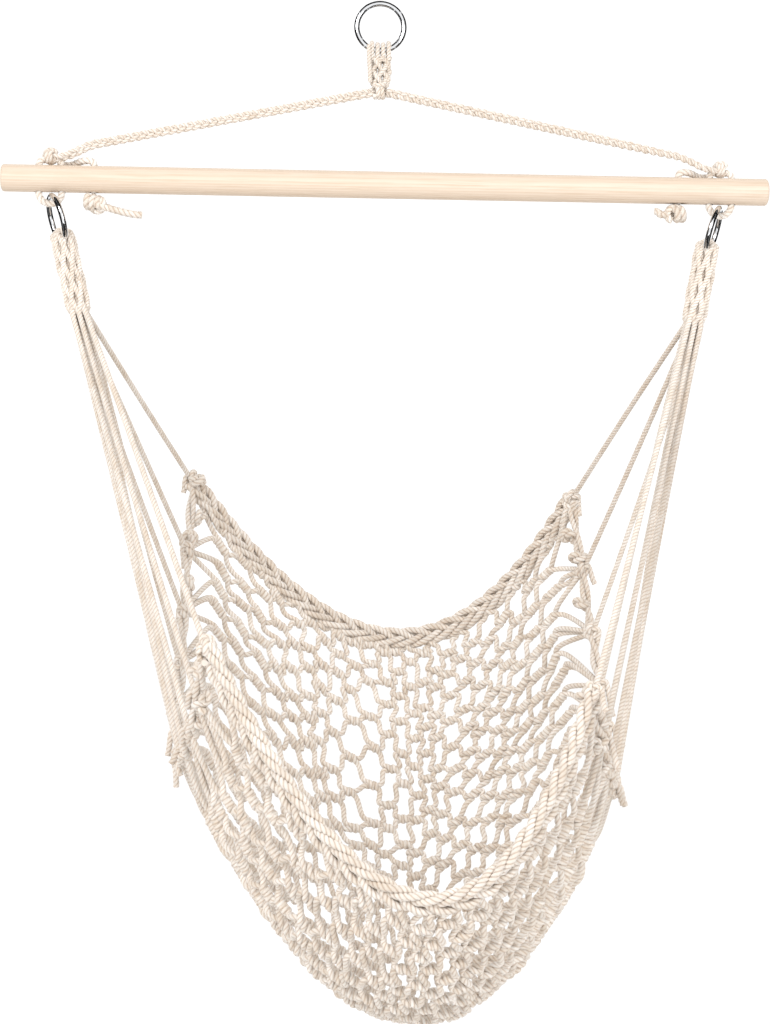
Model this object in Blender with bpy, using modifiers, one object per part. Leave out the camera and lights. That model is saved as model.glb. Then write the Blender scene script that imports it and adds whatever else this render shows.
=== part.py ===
"""Rope hammock chair, for Blender 4.5.

A wooden spreader bar hangs by two plaited ropes from a steel ring. A rope loop under each end of the bar
holds a smaller steel ring, and a fan of clew ropes hangs from each of those and carries a knotted rope net.

Metres. The origin is the inside top of the hanging ring, where a hook holds it. +X runs along the bar to the
right, +Y points to the back of the seat and +Z points up.
"""

import math

import bmesh
import bpy
from mathutils import Matrix, Vector

# Gap kept between pieces that touch
TOUCH = 0.0004

# Steel rings: one on the hook, one under each end of the bar
RING_OUTER = 0.055
RING_WIRE = 0.0062
SIDE_RING_LEAN = math.radians(17)
SIDE_RING_TURN = math.radians(18)

# Spreader bar, drilled from top to bottom for the ropes
BAR_LENGTH = 0.800
BAR_DIAMETER = 0.028
BAR_ROUNDING = 0.003
BAR_OFFSET = 0.010
HOLE_GAP = 0.0006

# Plaited head on the hanging ring, ending in the knot that the suspension ropes leave
HEAD_WIDTH = 0.024
HEAD_DEPTH = 0.015
HEAD_TOP = 0.0105
HEAD_LENGTH = 0.0423
HEAD_KNOT = 0.016
HEAD_SWING = math.radians(25)

# Ropes
SUSPENSION_ROPE = 0.009
SUSPENSION_DROP = 0.098
SUSPENSION_START_GAP = 0.0025
LOOP_ROPE = 0.008
CLEW_ROPE = 0.006
CLEW_ROPES = 12

# Knots and loops at each end of the bar: insets are measured from the bar's end
KNOT_INSET = 0.050
KNOT_WIDTH = 0.013
KNOT_DEPTH = 0.016
KNOT_HEIGHT = 0.016
LOOP_SPAN = 0.024
LOOP_BEND = 0.0055
TAIL_RUN = 0.045
TAIL_ANGLE = math.radians(34)
STOPPER_WIDTH = 0.024
STOPPER_DEPTH = 0.020
STOPPER_HEIGHT = 0.016
STOPPER_TAILS = {"left": 0.042, "right": 0.014}

# Clew heads: the woven start of each fan of ropes, looped round the side ring
CLEW_HEAD_DIAMETER = 0.026
CLEW_HEAD_TOP = 0.0095
CLEW_HEAD_LENGTH = 0.075
CLEW_TUNNEL_GAP = 0.0026
CLEW_PITCH = 0.0068
CLEW_START = 0.0035
CLEW_COLUMNS = 4
CLEW_ROWS = 3
CLEW_KNOT = 0.013

# Net: three hanging curves (left edge, centre line, right edge), each given at its back, middle and front.
# Widths and shifts are from the middle of the bar, heights from the origin.
NET_HALF_WIDTH = (0.218, 0.226, 0.182)
NET_SHIFT_AT_EDGES = (0.007, 0.014, 0.005)
NET_SHIFT_AT_CENTRE = (0.025, 0.025, 0.025)
NET_EDGE_DEPTH = 0.200
NET_CENTRE_DEPTH = 0.250
NET_FORWARD = 0.0164
NET_LEFT_HEIGHT = (-0.492, -0.769, -0.652)
NET_RIGHT_HEIGHT = (-0.508, -0.795, -0.693)
NET_CENTRE_HEIGHT = (-0.674, -1.025, -0.881)
NET_THICKNESS = 0.009
NET_EDGE_ROPE = 0.018
NET_PANEL_GAP = 0.0015
NET_BORDER_GAP = 0.004
NET_PANELS = ("net_back", "net_upper_seat", "net_seat", "net_front")
NET_COLUMNS = 18
NET_ROWS = 5

# Mesh fineness
ROUND_SEGMENTS = 32
WIRE_SEGMENTS = 10
HOLE_SEGMENTS = 20
BEND_POINTS = 5
ARC_POINTS = 9
EDGE_POINTS = 40

# Heights that follow from the sizes above
RING_RADIUS = (RING_OUTER - RING_WIRE) / 2
RING_CENTRE = -(RING_OUTER / 2 - RING_WIRE)
HEAD_PIVOT = RING_CENTRE - RING_RADIUS
HEAD_KNOT_HEIGHT = HEAD_PIVOT - HEAD_LENGTH
BAR_HEIGHT = HEAD_KNOT_HEIGHT - SUSPENSION_DROP
BAR_RADIUS = BAR_DIAMETER / 2
KNOT_CENTRE = BAR_RADIUS + TOUCH + KNOT_HEIGHT / 2
LOOP_HEIGHT = BAR_HEIGHT - BAR_RADIUS - LOOP_SPAN / 2
SIDE_WIRE_TOP = LOOP_HEIGHT + (LOOP_ROPE + RING_WIRE) / 2 + TOUCH
SIDE_RING_DROP = RING_RADIUS * math.cos(SIDE_RING_LEAN)
SIDE_RING_SHIFT = RING_RADIUS * math.sin(SIDE_RING_LEAN)
SIDE_RING_CENTRE = SIDE_WIRE_TOP - SIDE_RING_DROP

SIDES = {"left": -1, "right": 1}


# ---------------------------------------------------------------- scene and helpers

def clear_scene():
    for obj in list(bpy.data.objects):
        bpy.data.objects.remove(obj, do_unlink=True)


def new_collection(name):
    collection = bpy.data.collections.new(name)
    bpy.context.scene.collection.children.link(collection)
    return collection


def new_material(name, color, roughness, metallic=0.0):
    material = bpy.data.materials.new(name)
    material.use_nodes = True
    shader = material.node_tree.nodes["Principled BSDF"]
    shader.inputs["Base Color"].default_value = (*color, 1.0)
    shader.inputs["Roughness"].default_value = roughness
    shader.inputs["Metallic"].default_value = metallic
    return material


clear_scene()
HAMMOCK = new_collection("rope_hammock")
CUTTERS = new_collection("cutters")
STEEL = new_material("chromed_steel", (0.80, 0.80, 0.80), 0.08, metallic=1.0)
WOOD = new_material("pale_wood", (0.86, 0.72, 0.55), 0.5)
ROPE = new_material("cotton_rope", (0.86, 0.79, 0.68), 0.9)


def new_body(name, at, parent=None):
    """An empty on a body's joint axis: the body's pieces are its children."""
    empty = bpy.data.objects.new(name, None)
    empty.empty_display_size = 0.02
    HAMMOCK.objects.link(empty)
    empty.parent = parent
    empty.location = Vector(at) - pivot_of(parent)
    return empty


def pivot_of(body):
    """The place of a body's joint axis. The empties are never turned, so their locations add up."""
    place = Vector((0.0, 0.0, 0.0))
    while body:
        place += body.location
        body = body.parent
    return place


def attach(obj, body, at, turn=(0.0, 0.0, 0.0)):
    obj.parent = body
    obj.location = Vector(at) - pivot_of(body)
    obj.rotation_euler = turn
    return obj


def link_mesh(name, mesh, material, collection=HAMMOCK):
    obj = bpy.data.objects.new(name, mesh)
    collection.objects.link(obj)
    if material:
        mesh.materials.append(material)
    return obj


def shade_round(obj, angle=40):
    obj.data.shade_smooth()
    obj.data.set_sharp_from_angle(angle=math.radians(angle))


def make_cutter(obj):
    for collection in obj.users_collection:
        collection.objects.unlink(obj)
    CUTTERS.objects.link(obj)
    obj.hide_render = True
    obj.display_type = "WIRE"
    return obj


def boolean(obj, other, operation="DIFFERENCE"):
    modifier = obj.modifiers.new(operation.lower(), "BOOLEAN")
    modifier.operation = operation
    modifier.object = other
    modifier.solver = "EXACT"


def torus(name, material, wire, radius=RING_RADIUS, segments=ROUND_SEGMENTS):
    """A ring about local Z."""
    bpy.ops.mesh.primitive_torus_add(
        major_radius=radius, minor_radius=wire / 2, major_segments=segments, minor_segments=WIRE_SEGMENTS
    )
    mesh = bpy.context.object.data
    bpy.data.objects.remove(bpy.context.object, do_unlink=True)
    obj = link_mesh(name, mesh, material)
    shade_round(obj)
    return obj


def cylinder(name, material, radius, length, segments=ROUND_SEGMENTS):
    """A round bar along local Z, centred on its origin."""
    mesh = bpy.data.meshes.new(name)
    shape = bmesh.new()
    bmesh.ops.create_cone(
        shape, cap_ends=True, segments=segments, radius1=radius, radius2=radius, depth=length
    )
    shape.to_mesh(mesh)
    shape.free()
    return link_mesh(name, mesh, material)


def ellipsoid(name, material, width, depth, height):
    mesh = bpy.data.meshes.new(name)
    shape = bmesh.new()
    bmesh.ops.create_uvsphere(shape, u_segments=18, v_segments=12, radius=0.5)
    bmesh.ops.scale(shape, vec=(width, depth, height), verts=shape.verts)
    shape.to_mesh(mesh)
    shape.free()
    obj = link_mesh(name, mesh, material)
    shade_round(obj)
    return obj


def tube(name, material, points, diameter, body, radii=None, sides=2):
    """A rope through world points, with its origin on the first. radii swell it, as at a knot."""
    start = Vector(points[0])
    curve = bpy.data.curves.new(name, "CURVE")
    curve.dimensions = "3D"
    curve.bevel_depth = diameter / 2
    curve.bevel_resolution = sides
    curve.use_fill_caps = True
    spline = curve.splines.new("POLY")
    spline.points.add(len(points) - 1)
    for number, point in enumerate(points):
        spline.points[number].co = (*(Vector(point) - start), 1.0)
        spline.points[number].radius = radii[number] if radii else 1.0
    obj = link_mesh(name, curve, material)
    return attach(obj, body, start)


def as_mesh(obj):
    """Turns a curve object into a mesh object with welded caps, in the same place."""
    bpy.context.view_layer.update()
    graph = bpy.context.evaluated_depsgraph_get()
    mesh = bpy.data.meshes.new_from_object(obj.evaluated_get(graph))
    shape = bmesh.new()
    shape.from_mesh(mesh)
    bmesh.ops.remove_doubles(shape, verts=shape.verts, dist=0.00001)
    shape.to_mesh(mesh)
    shape.free()
    name = obj.name
    world = obj.matrix_world.copy()
    parent = obj.parent
    bpy.data.objects.remove(obj, do_unlink=True)
    made = bpy.data.objects.new(name, mesh)
    HAMMOCK.objects.link(made)
    made.parent = parent
    made.matrix_world = world
    return made


def turned(name, material, profile, segments=24):
    """A solid of revolution about local Z: profile is (radius, height) pairs from top to bottom."""
    mesh = bpy.data.meshes.new(name)
    mesh.from_pydata(
        [(radius, 0.0, height) for radius, height in profile],
        [(number, number + 1) for number in range(len(profile) - 1)],
        [],
    )
    obj = link_mesh(name, mesh, material)
    screw = obj.modifiers.new("turn", "SCREW")
    screw.steps = segments
    screw.render_steps = segments
    screw.use_merge_vertices = True
    screw.merge_threshold = 0.00001
    screw.use_smooth_shade = True
    return obj


def arc(centre, radius, start, end, points):
    """Points of an arc in an XZ plane, angles in degrees from +X towards +Z."""
    x, y, z = centre
    made = []
    for number in range(points):
        angle = math.radians(start + (end - start) * number / (points - 1))
        made.append((x + radius * math.cos(angle), y, z + radius * math.sin(angle)))
    return made


# ---------------------------------------------------------------- net surface

def three_point(back, middle, front, share):
    """The parabola through three points, with share running from 0 at the first to 1 at the last."""
    return (
        back * (1 - share) * (1 - 2 * share)
        + middle * 4 * share * (1 - share)
        + front * share * (2 * share - 1)
    )


def net_curves():
    """The left edge, the centre line and the right edge, each as (back, middle, front) points."""
    def points(sign, shifts, depth, heights):
        return [
            Vector((BAR_OFFSET + shift + sign * width, place * depth - NET_FORWARD, height))
            for width, shift, place, height in zip(NET_HALF_WIDTH, shifts, (1, 0, -1), heights)
        ]

    return (
        points(-1, NET_SHIFT_AT_EDGES, NET_EDGE_DEPTH, NET_LEFT_HEIGHT),
        points(0, NET_SHIFT_AT_CENTRE, NET_CENTRE_DEPTH, NET_CENTRE_HEIGHT),
        points(1, NET_SHIFT_AT_EDGES, NET_EDGE_DEPTH, NET_RIGHT_HEIGHT),
    )


NET_CURVES = net_curves()


def net_point(across, along):
    """A point of the net: across runs from the left edge to the right, along from the back to the front."""
    return three_point(*(three_point(*curve, along) for curve in NET_CURVES), across)


def slowest(direction, across_values, along_values):
    """The least distance that one unit of across or along covers, over a set of places."""
    step = 0.001
    speeds = []
    for across in across_values:
        for along in along_values:
            moved = (across + step, along) if direction == "across" else (across, along + step)
            speeds.append((net_point(*moved) - net_point(across, along)).length / step)
    return min(speeds)


SHARES = [number / 10 for number in range(11)]
SIDE_MARGIN = (CLEW_KNOT / 2 + NET_BORDER_GAP) / slowest("across", (0.0, 0.99), SHARES)
BACK_MARGIN = (NET_EDGE_ROPE / 2 + NET_BORDER_GAP) / slowest("along", SHARES, (0.0,))
FRONT_MARGIN = (NET_EDGE_ROPE / 2 + NET_BORDER_GAP) / slowest("along", SHARES, (0.98,))


# ---------------------------------------------------------------- pieces

def make_ring(name, body, centre, turn):
    return attach(torus(name, STEEL, RING_WIRE), body, centre, turn)


def side_ring_turn(sign):
    """A side ring faces the sides, is turned a little about the line that it hangs on, and leans inwards."""
    facing_sides = Matrix.Rotation(math.pi / 2, 3, "Y")
    turned_out = Matrix.Rotation(-sign * SIDE_RING_TURN, 3, "Z")
    leaning = Matrix.Rotation(sign * SIDE_RING_LEAN, 3, "Y")
    return (leaning @ turned_out @ facing_sides).to_euler()


def make_head(body):
    """The plaited head. A tunnel, wide enough for its swing, lets it turn on the ring's lowest wire."""
    half = HEAD_WIDTH / 2
    knot = HEAD_KNOT / 2
    profile = [
        (0.0, HEAD_TOP),
        (half * 0.80, HEAD_TOP - 0.0015),
        (half, HEAD_TOP - 0.0055),
        (half, -HEAD_LENGTH * 0.16),
        (half * 0.86, -HEAD_LENGTH * 0.52),
        (knot * 0.92, -HEAD_LENGTH + knot * 0.9),
    ]
    for number in range(1, 8):
        angle = math.radians(50 - number * 20)
        profile.append((knot * math.cos(angle), -HEAD_LENGTH + knot * math.sin(angle)))
    profile.append((0.0, -HEAD_LENGTH - knot))
    head = attach(turned("plaited_head", ROPE, profile), body, (0.0, 0.0, HEAD_PIVOT))
    head.scale = (1.0, HEAD_DEPTH / HEAD_WIDTH, 1.0)

    rise = RING_RADIUS - math.sqrt(RING_RADIUS ** 2 - half ** 2)
    room = 2 * rise * math.sin(HEAD_SWING / 2) + TOUCH
    tunnel = make_cutter(torus("head_tunnel", None, RING_WIRE + 2 * room, segments=48))
    attach(tunnel, body, (0.0, 0.0, RING_CENTRE), (math.pi / 2, 0.0, 0.0))
    boolean(head, tunnel)


def make_bar(body):
    bar = cylinder("spreader_bar", WOOD, BAR_RADIUS, BAR_LENGTH)
    attach(bar, body, (BAR_OFFSET, 0.0, BAR_HEIGHT), (0.0, math.pi / 2, 0.0))
    rounding = bar.modifiers.new("rounded_ends", "BEVEL")
    rounding.width = BAR_ROUNDING
    rounding.segments = 3
    rounding.limit_method = "ANGLE"
    for side, sign in SIDES.items():
        for number, place in enumerate(hole_places(sign), start=1):
            hole = cylinder(
                f"hole_{side}_{number}", None, LOOP_ROPE / 2 + HOLE_GAP, 2 * BAR_DIAMETER, HOLE_SEGMENTS
            )
            attach(make_cutter(hole), body, (place, 0.0, BAR_HEIGHT))
            boolean(bar, hole)
    shade_round(bar)


def knot_place(sign):
    return BAR_OFFSET + sign * (BAR_LENGTH / 2 - KNOT_INSET)


def hole_places(sign):
    """Outer and inner leg of the ring loop, then the hole of the tail rope."""
    knot = knot_place(sign)
    return (knot + sign * LOOP_SPAN / 2, knot - sign * LOOP_SPAN / 2, knot - sign * TAIL_RUN)


def make_suspension_rope(side, sign, body):
    """A straight rope from the head's knot to the upper half of the knot on the bar."""
    knot_top = Vector((knot_place(sign), 0.0, BAR_HEIGHT + KNOT_CENTRE + KNOT_HEIGHT * 0.3))
    head_knot = Vector((0.0, 0.0, HEAD_KNOT_HEIGHT))
    along = (knot_top - head_knot).normalized()
    start = head_knot + along * (HEAD_KNOT / 2 + SUSPENSION_START_GAP)
    end = knot_top - along * (KNOT_WIDTH / 2 + 3 * TOUCH)
    tube(f"suspension_rope_{side}", ROPE, [start, end], SUSPENSION_ROPE, body, sides=3)


def make_bar_knot(side, sign, body):
    knot = ellipsoid(f"bar_knot_{side}", ROPE, KNOT_WIDTH, KNOT_DEPTH, KNOT_HEIGHT)
    attach(knot, body, (knot_place(sign), 0.0, BAR_HEIGHT + KNOT_CENTRE))


def make_ring_loop(side, sign, body):
    """A rope loop: out of the knot, down through the bar, round under it, up again and into the knot."""
    middle = knot_place(sign)
    half = LOOP_SPAN / 2
    bend = BAR_HEIGHT + BAR_RADIUS
    start = half - LOOP_BEND
    points = arc((middle - start, 0.0, bend), LOOP_BEND, 90, 180, BEND_POINTS)
    points += arc((middle, 0.0, LOOP_HEIGHT + half), half, 180, 360, 2 * ARC_POINTS)
    points += arc((middle + start, 0.0, bend), LOOP_BEND, 0, 90, BEND_POINTS)
    tube(f"ring_loop_{side}", ROPE, points, LOOP_ROPE, body, sides=3)


def make_tail_rope(side, sign, body):
    """The tail of the suspension rope: behind the loop's inner leg, over the bar and down its own hole."""
    knot = knot_place(sign)
    hole = hole_places(sign)[2]
    reach = BAR_RADIUS + LOOP_BEND
    start = KNOT_WIDTH / 2 - TOUCH
    run = TAIL_RUN - LOOP_BEND - start
    points = []
    for number in range(ARC_POINTS):
        share = number / (ARC_POINTS - 1)
        slack = max(0.0, (share - 0.35) / 0.65)
        angle = TAIL_ANGLE * (1 + math.cos(math.pi * slack)) / 2
        points.append(
            (
                knot - sign * (start + run * share),
                reach * math.sin(angle),
                BAR_HEIGHT + reach * math.cos(angle),
            )
        )
    for number in range(1, BEND_POINTS):
        angle = math.pi / 2 * number / (BEND_POINTS - 1)
        points.append(
            (
                hole + sign * LOOP_BEND * (1 - math.sin(angle)),
                0.0,
                BAR_HEIGHT + BAR_RADIUS + LOOP_BEND * math.cos(angle),
            )
        )
    points.append((hole, 0.0, BAR_HEIGHT - BAR_RADIUS))
    tube(f"tail_rope_{side}", ROPE, points, LOOP_ROPE, body, sides=3)


def make_stopper_knot(side, sign, body):
    """The knot that stops the tail rope under the bar, with the rope's cut end coming out of its side."""
    hole = hole_places(sign)[2]
    height = BAR_HEIGHT - BAR_RADIUS - TOUCH - STOPPER_HEIGHT / 2
    knot = ellipsoid(f"stopper_knot_{side}", ROPE, STOPPER_WIDTH, STOPPER_DEPTH, STOPPER_HEIGHT)
    attach(knot, body, (hole, 0.0, height))
    length = STOPPER_TAILS[side]
    end = tube(
        f"stopper_tail_{side}",
        None,
        [
            (hole, 0.0, height),
            (hole - sign * (STOPPER_WIDTH / 2 + length / 3), -0.001, height - 0.001),
            (hole - sign * (STOPPER_WIDTH / 2 + length * 2 / 3), -0.002, height - 0.003),
            (hole - sign * (STOPPER_WIDTH / 2 + length), -0.003, height - 0.006),
        ],
        LOOP_ROPE,
        body,
    )
    boolean(knot, make_cutter(as_mesh(end)), "UNION")


def clew_wire(sign):
    """The middle of the lowest wire of a side ring."""
    x = knot_place(sign) - sign * 2 * SIDE_RING_SHIFT
    return Vector((x, 0.0, SIDE_WIRE_TOP - 2 * SIDE_RING_DROP))


def clew_lean(sign):
    """How far a clew head leans inwards: it points at the middle of the net's side edge."""
    reach = net_point(0.0 if sign < 0 else 1.0, 0.5) - clew_wire(sign)
    return math.atan2(-sign * reach.x, -reach.z)


def make_clew_head(side, sign, body):
    """The woven head of a fan, with a tunnel in which the side ring can turn."""
    half = CLEW_HEAD_DIAMETER / 2
    profile = [
        (0.0, CLEW_HEAD_TOP),
        (half * 0.66, CLEW_HEAD_TOP - 0.0008),
        (half * 0.92, CLEW_HEAD_TOP - 0.0050),
        (half, -CLEW_HEAD_LENGTH * 0.13),
        (half * 0.84, -CLEW_HEAD_LENGTH * 0.53),
        (half, -CLEW_HEAD_LENGTH * 0.90),
        (half * 0.92, -CLEW_HEAD_LENGTH),
        (0.0, -CLEW_HEAD_LENGTH),
    ]
    head = turned(f"clew_head_{side}", ROPE, profile)
    attach(head, body, clew_wire(sign), (0.0, sign * clew_lean(sign), 0.0))
    tunnel = make_cutter(torus(f"clew_tunnel_{side}", None, RING_WIRE + 2 * CLEW_TUNNEL_GAP, segments=48))
    centre = (knot_place(sign) - sign * SIDE_RING_SHIFT, 0.0, SIDE_RING_CENTRE)
    attach(tunnel, body, centre, side_ring_turn(sign))
    boolean(head, tunnel)


def clew_route(sign, number):
    """Start and end of one clew rope.

    The ropes leave their head in a block of columns and rows. The rope that goes furthest to the back or
    the front starts in the innermost row of its column, so that no two ropes cross.
    """
    lean = clew_lean(sign)
    down = Vector((-sign * math.sin(lean), 0.0, -math.cos(lean)))
    inwards = Vector((-sign * math.cos(lean), 0.0, math.sin(lean)))
    column, row = divmod(number, CLEW_ROWS)
    inner = (CLEW_ROWS - 1) / 2 - row
    if column >= CLEW_COLUMNS / 2:
        inner = -inner
    start = clew_wire(sign) + down * (CLEW_HEAD_LENGTH + CLEW_START)
    start += inwards * CLEW_PITCH * inner
    start += Vector((0.0, CLEW_PITCH * ((CLEW_COLUMNS - 1) / 2 - column), 0.0))
    end = net_point(0.0 if sign < 0 else 1.0, number / (CLEW_ROPES - 1))
    return start, end


def make_clew_rope(side, sign, number, body):
    """A straight rope that swells into the knot that ties it to the net's side."""
    start, end = clew_route(sign, number)
    along = (end - start).normalized()
    swell = CLEW_KNOT / CLEW_ROPE
    knot = ((-1.0, 1.0), (-0.8, 0.62 * swell), (-0.4, 0.92 * swell), (0.0, swell), (0.4, 0.92 * swell),
            (0.8, 0.62 * swell), (1.0, 0.25 * swell))
    points = [start] + [end + along * CLEW_KNOT / 2 * place for place, _ in knot]
    radii = [1.0] + [radius for _, radius in knot]
    tube(f"clew_rope_{side}_{number + 1:02d}", ROPE, points, CLEW_ROPE, body, radii)


def make_edge_rope(name, along, body):
    """The plaited rope along the back or front edge of the net."""
    points = []
    for number in range(EDGE_POINTS):
        share = SIDE_MARGIN + (1 - 2 * SIDE_MARGIN) * number / (EDGE_POINTS - 1)
        points.append(net_point(share, along))
    tube(name, ROPE, points, NET_EDGE_ROPE, body, sides=3)


def make_net_panel(name, number, body):
    """One band of the net: an open sheet on the net's surface, thickened by Solidify."""
    bands = len(NET_PANELS)
    gap = NET_PANEL_GAP / 2 / slowest("along", (0.0, 0.5, 1.0), SHARES)
    low = BACK_MARGIN if number == 0 else number / bands + gap
    high = 1 - FRONT_MARGIN if number == bands - 1 else (number + 1) / bands - gap
    middle = net_point(0.5, (low + high) / 2)

    mesh = bpy.data.meshes.new(name)
    shape = bmesh.new()
    bmesh.ops.create_grid(shape, x_segments=NET_COLUMNS, y_segments=NET_ROWS, size=0.5)
    for vertex in shape.verts:
        across = SIDE_MARGIN + (1 - 2 * SIDE_MARGIN) * (vertex.co.x + 0.5)
        along = low + (high - low) * (vertex.co.y + 0.5)
        vertex.co = net_point(across, along) - middle
    shape.to_mesh(mesh)
    shape.free()
    panel = attach(link_mesh(name, mesh, ROPE), body, middle)
    shell = panel.modifiers.new("thickness", "SOLIDIFY")
    shell.thickness = NET_THICKNESS
    shell.offset = 0.0
    panel.data.shade_smooth()


# ---------------------------------------------------------------- the whole hammock

ring_body = new_body("ring_body", (0.0, 0.0, 0.0))
head_body = new_body("head_body", (0.0, 0.0, HEAD_PIVOT), ring_body)
bar_body = new_body("bar_body", (0.0, 0.0, HEAD_KNOT_HEIGHT), head_body)

make_ring("hanging_ring", ring_body, (0.0, 0.0, RING_CENTRE), (math.pi / 2, 0.0, 0.0))
make_head(head_body)
make_bar(bar_body)

side_bodies = {}
for side, sign in SIDES.items():
    side_bodies[side] = new_body(f"side_ring_body_{side}", (knot_place(sign), 0.0, LOOP_HEIGHT), bar_body)
    make_suspension_rope(side, sign, bar_body)
    make_bar_knot(side, sign, bar_body)
    make_ring_loop(side, sign, bar_body)
    make_tail_rope(side, sign, bar_body)
    make_stopper_knot(side, sign, bar_body)
    ring_centre = (knot_place(sign) - sign * SIDE_RING_SHIFT, 0.0, SIDE_RING_CENTRE)
    make_ring(f"side_ring_{side}", side_bodies[side], ring_centre, side_ring_turn(sign))

seat_pivot = (knot_place(SIDES["left"]) + SIDE_RING_SHIFT, 0.0, SIDE_RING_CENTRE)
seat_body = new_body("seat_body", seat_pivot, side_bodies["left"])
for side, sign in SIDES.items():
    make_clew_head(side, sign, seat_body)
    for rope in range(CLEW_ROPES):
        make_clew_rope(side, sign, rope, seat_body)

make_edge_rope("net_back_edge", 0.0, seat_body)
make_edge_rope("net_front_edge", 1.0, seat_body)
for band, band_name in enumerate(NET_PANELS):
    make_net_panel(band_name, band, seat_body)
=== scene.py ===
# %% [markdown]
# # A rope hammock chair, from its frame to its last cut end
#
# The chair is a turned wooden bar that hangs by two plaited cords from a steel ring. Under each end of the
# bar a rope loop holds a smaller ring, and a fan of clew ropes runs from that ring to the side of a knotted
# net. The plain solids of the frame are loaded first. They give every place in metres: the origin is the
# inside top of the hanging ring, +X runs along the bar, +Y points to the back of the seat and +Z points up.

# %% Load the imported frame
import math
import random

import bmesh
import bpy
from mathutils import Matrix, Vector


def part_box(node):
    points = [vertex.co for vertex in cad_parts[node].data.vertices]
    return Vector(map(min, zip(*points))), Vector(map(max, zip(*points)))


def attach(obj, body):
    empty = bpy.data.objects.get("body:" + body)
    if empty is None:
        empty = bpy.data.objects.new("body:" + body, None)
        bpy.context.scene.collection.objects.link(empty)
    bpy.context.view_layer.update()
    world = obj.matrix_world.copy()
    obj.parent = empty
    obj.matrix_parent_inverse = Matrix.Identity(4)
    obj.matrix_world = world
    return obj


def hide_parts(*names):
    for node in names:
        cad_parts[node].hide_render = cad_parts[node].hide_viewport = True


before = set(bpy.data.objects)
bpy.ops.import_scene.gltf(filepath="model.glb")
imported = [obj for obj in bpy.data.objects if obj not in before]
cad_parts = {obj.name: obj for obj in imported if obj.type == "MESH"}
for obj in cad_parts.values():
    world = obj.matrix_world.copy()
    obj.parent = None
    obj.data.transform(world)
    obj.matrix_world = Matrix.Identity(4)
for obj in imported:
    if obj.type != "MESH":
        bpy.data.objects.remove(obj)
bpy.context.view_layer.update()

# %% [markdown]
# ## Camera
#
# The camera stands level with the middle of the chair and three degrees to its left, and it is rolled by a
# fraction of a degree, as a hand-levelled tripod is. Placing the camera by its own axes keeps that roll.

# %% Place the camera
TURN = math.radians(-3.0)
ROLL = math.radians(0.6)
DISTANCE = 2.0
LOOKS_AT = Vector((0.0101, 0.0, -0.5271))
LENS = 67.36
SENSOR = 36.0

forward = Vector((-math.sin(TURN), math.cos(TURN), 0.0))
level = Vector((math.cos(TURN), math.sin(TURN), 0.0))
right = level * math.cos(ROLL) + Vector((0.0, 0.0, math.sin(ROLL)))
up = right.cross(forward)

camera = bpy.data.objects.new("camera", bpy.data.cameras.new("camera"))
camera.data.lens = LENS
camera.data.sensor_width = SENSOR
bpy.context.collection.objects.link(camera)
axes = Matrix((right, up, -forward)).transposed().to_4x4()
camera.matrix_world = Matrix.Translation(LOOKS_AT - forward * DISTANCE) @ axes
bpy.context.scene.camera = camera
print("camera at", [round(value, 3) for value in camera.location], "lens", LENS)

# %% [markdown]
# ## Cotton
#
# Undyed cotton rope is warm cream where light reaches it. The grooves between its strands look browner,
# because light bounces there from fibre to fibre, and that shade is painted into the colour here: the cotton
# darkens from the top of each strand down its flank into a brown groove. The rope builder below stores three
# attributes on each rope, so the colour can follow the rope wherever it bends: `crest` is 0 in a groove and 1
# on top of a strand and sets how much painted shade a place gets, `shade` differs from rope to rope, and
# `fibre` is a place on the unrolled rope, for the fine streaks of the yarn.

# %% Node helpers
# The Mix node keeps sockets for numbers, vectors and colours, so its colour sockets are found by number.
MIX_COLOUR_A = 6
MIX_COLOUR_B = 7
MIX_COLOUR_RESULT = 2


def new_node(tree, kind, **settings):
    node = tree.nodes.new(kind)
    for name, value in settings.items():
        setattr(node, name, value)
    return node


def fill_socket(tree, socket, value):
    """Links an output socket to this one, or sets it to a plain value."""
    if isinstance(value, bpy.types.NodeSocket):
        tree.links.new(value, socket)
    else:
        socket.default_value = value


def feed(tree, node, **inputs):
    """Fills inputs by their names, with _ for a space."""
    for name, value in inputs.items():
        fill_socket(tree, node.inputs[name.replace("_", " ")], value)
    return node


def new_material(name):
    material = bpy.data.materials.new(name)
    material.use_nodes = True
    tree = material.node_tree
    shader = tree.nodes["Principled BSDF"]
    return material, tree, shader


def ramp(tree, stops, factor):
    """A colour ramp, from a list of (place, colour)."""
    node = new_node(tree, "ShaderNodeValToRGB")
    elements = node.color_ramp.elements
    while len(elements) < len(stops):
        elements.new(0.5)
    for element, (place, colour) in zip(elements, stops):
        element.position = place
        element.color = (*colour, 1.0)
    tree.links.new(factor, node.inputs["Fac"])
    return node.outputs["Color"]


def attribute(tree, name):
    return new_node(tree, "ShaderNodeAttribute", attribute_name=name)


def multiplied(tree, body, stops, factor, amount=1.0):
    """A colour multiplied by a ramp that follows the factor."""
    node = new_node(tree, "ShaderNodeMix", data_type="RGBA", blend_type="MULTIPLY")
    fill_socket(tree, node.inputs["Factor"], amount)
    fill_socket(tree, node.inputs[MIX_COLOUR_A], body)
    fill_socket(tree, node.inputs[MIX_COLOUR_B], ramp(tree, stops, factor))
    return node.outputs[MIX_COLOUR_RESULT]


def mapped_noise(tree, place, scale, detail):
    """Noise on a place that is scaled first, so its spots can be long and thin."""
    mapping = feed(tree, new_node(tree, "ShaderNodeMapping"), Vector=place, Scale=scale)
    noise = new_node(tree, "ShaderNodeTexNoise")
    return feed(tree, noise, Vector=mapping.outputs[0], Scale=1.0, Detail=detail)


def bumped(tree, shader, height, strength, distance):
    bump = feed(tree, new_node(tree, "ShaderNodeBump"), Strength=strength, Distance=distance, Height=height)
    tree.links.new(bump.outputs[0], shader.inputs["Normal"])


print("node helpers ready")

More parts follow.
